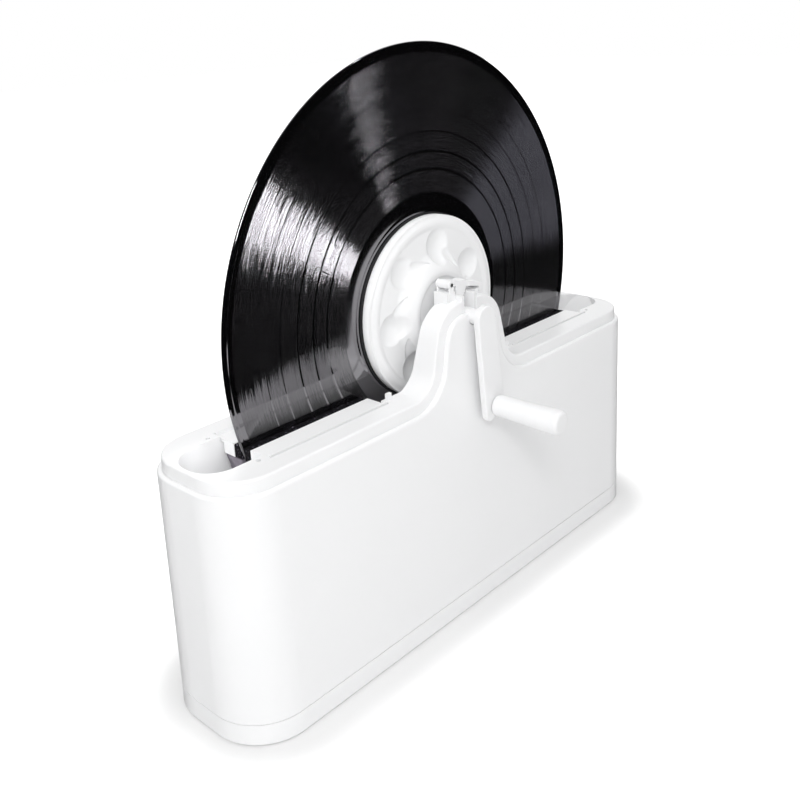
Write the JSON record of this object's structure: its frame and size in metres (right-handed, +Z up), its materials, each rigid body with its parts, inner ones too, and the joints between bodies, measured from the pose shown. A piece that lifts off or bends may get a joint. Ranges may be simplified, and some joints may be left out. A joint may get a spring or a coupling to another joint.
{
  "type": "record cleaning machine",
  "caption": "Hand-cranked record washer: a long white basin with brushes in its trough, and a vinyl record clamped on an axle between two seal discs, turned by a side crank.",
  "frame": {"origin": "centre of the basin's footprint, on the surface it stands on, midway between its four feet and below the axle", "axes": "+X along the machine's length, to the right when the crank faces the viewer; -Y towards the crank; +Z up, so the record stands in the plane y = 0"},
  "size_m": [0.3772, 0.1382, 0.3403],
  "materials": {
    "white_abs": "smooth moulded, softly glossy",
    "vinyl": "polished, grooved",
    "label_paper": "matt",
    "seal_rubber": "matt",
    "foot_rubber": "matt",
    "bristle_pile": "dense soft pile",
    "steel": "turned"
  },
  "bodies": {
    "basin": {"outer_shell": "white_abs", "tub": "white_abs", "base_plate": "white_abs", "feet": "foot_rubber", "base_screws": "steel", "tub_screws": "steel", "front_axle_saddle": "white_abs", "rear_axle_saddle": "white_abs", "front_keeper_pin": "steel", "rear_keeper_pin": "steel"},
    "front_keeper": {"front_keeper": "white_abs"},
    "rear_keeper": {"rear_keeper": "white_abs"},
    "rotor": {"front_axle": "white_abs", "front_clamp_disc": "white_abs", "front_seal": "seal_rubber", "record": "vinyl", "record_labels": "label_paper", "crank_arm": "white_abs", "grip_pin": "steel"},
    "rear_clamp": {"rear_axle": "white_abs", "rear_clamp_disc": "white_abs", "rear_seal": "seal_rubber"},
    "crank_grip": {"crank_grip": "white_abs"},
    "front_left_brush": {"front_left_brush_holder": "white_abs", "front_left_bristles": "bristle_pile"},
    "front_right_brush": {"front_right_brush_holder": "white_abs", "front_right_bristles": "bristle_pile"},
    "rear_left_brush": {"rear_left_brush_holder": "white_abs", "rear_left_bristles": "bristle_pile"},
    "rear_right_brush": {"rear_right_brush_holder": "white_abs", "rear_right_bristles": "bristle_pile"}
  },
  "joints": [
    {"name": "rotor_spin", "type": "hinge", "parent": "basin", "child": "rotor", "pos_m": [0, 0, 0.1895], "axis": [0, 1, 0], "continuous": true},
    {"name": "rear_clamp_turn", "type": "hinge", "parent": "rotor", "child": "rear_clamp", "pos_m": [0, 0, 0.1895], "axis": [0, 1, 0], "range_deg": [0, 90]},
    {"name": "crank_grip_spin", "type": "hinge", "parent": "rotor", "child": "crank_grip", "pos_m": [0.0073, -0.07, 0.13408], "axis": [0, 1, 0], "continuous": true},
    {"name": "front_keeper_hinge", "type": "hinge", "parent": "basin", "child": "front_keeper", "pos_m": [-0.0095, -0.025, 0.2089], "axis": [0, -1, 0], "range_deg": [0, 110]},
    {"name": "rear_keeper_hinge", "type": "hinge", "parent": "basin", "child": "rear_keeper", "pos_m": [-0.0095, 0.025, 0.2089], "axis": [0, -1, 0], "range_deg": [0, 110]},
    {"name": "front_left_brush_lift", "type": "slide", "parent": "basin", "child": "front_left_brush", "axis": [0, 0, 1], "range_m": [0, 0.04]},
    {"name": "front_right_brush_lift", "type": "slide", "parent": "basin", "child": "front_right_brush", "axis": [0, 0, 1], "range_m": [0, 0.04]},
    {"name": "rear_left_brush_lift", "type": "slide", "parent": "basin", "child": "rear_left_brush", "axis": [0, 0, 1], "range_m": [0, 0.04]},
    {"name": "rear_right_brush_lift", "type": "slide", "parent": "basin", "child": "rear_right_brush", "axis": [0, 0, 1], "range_m": [0, 0.04]}
  ]
}
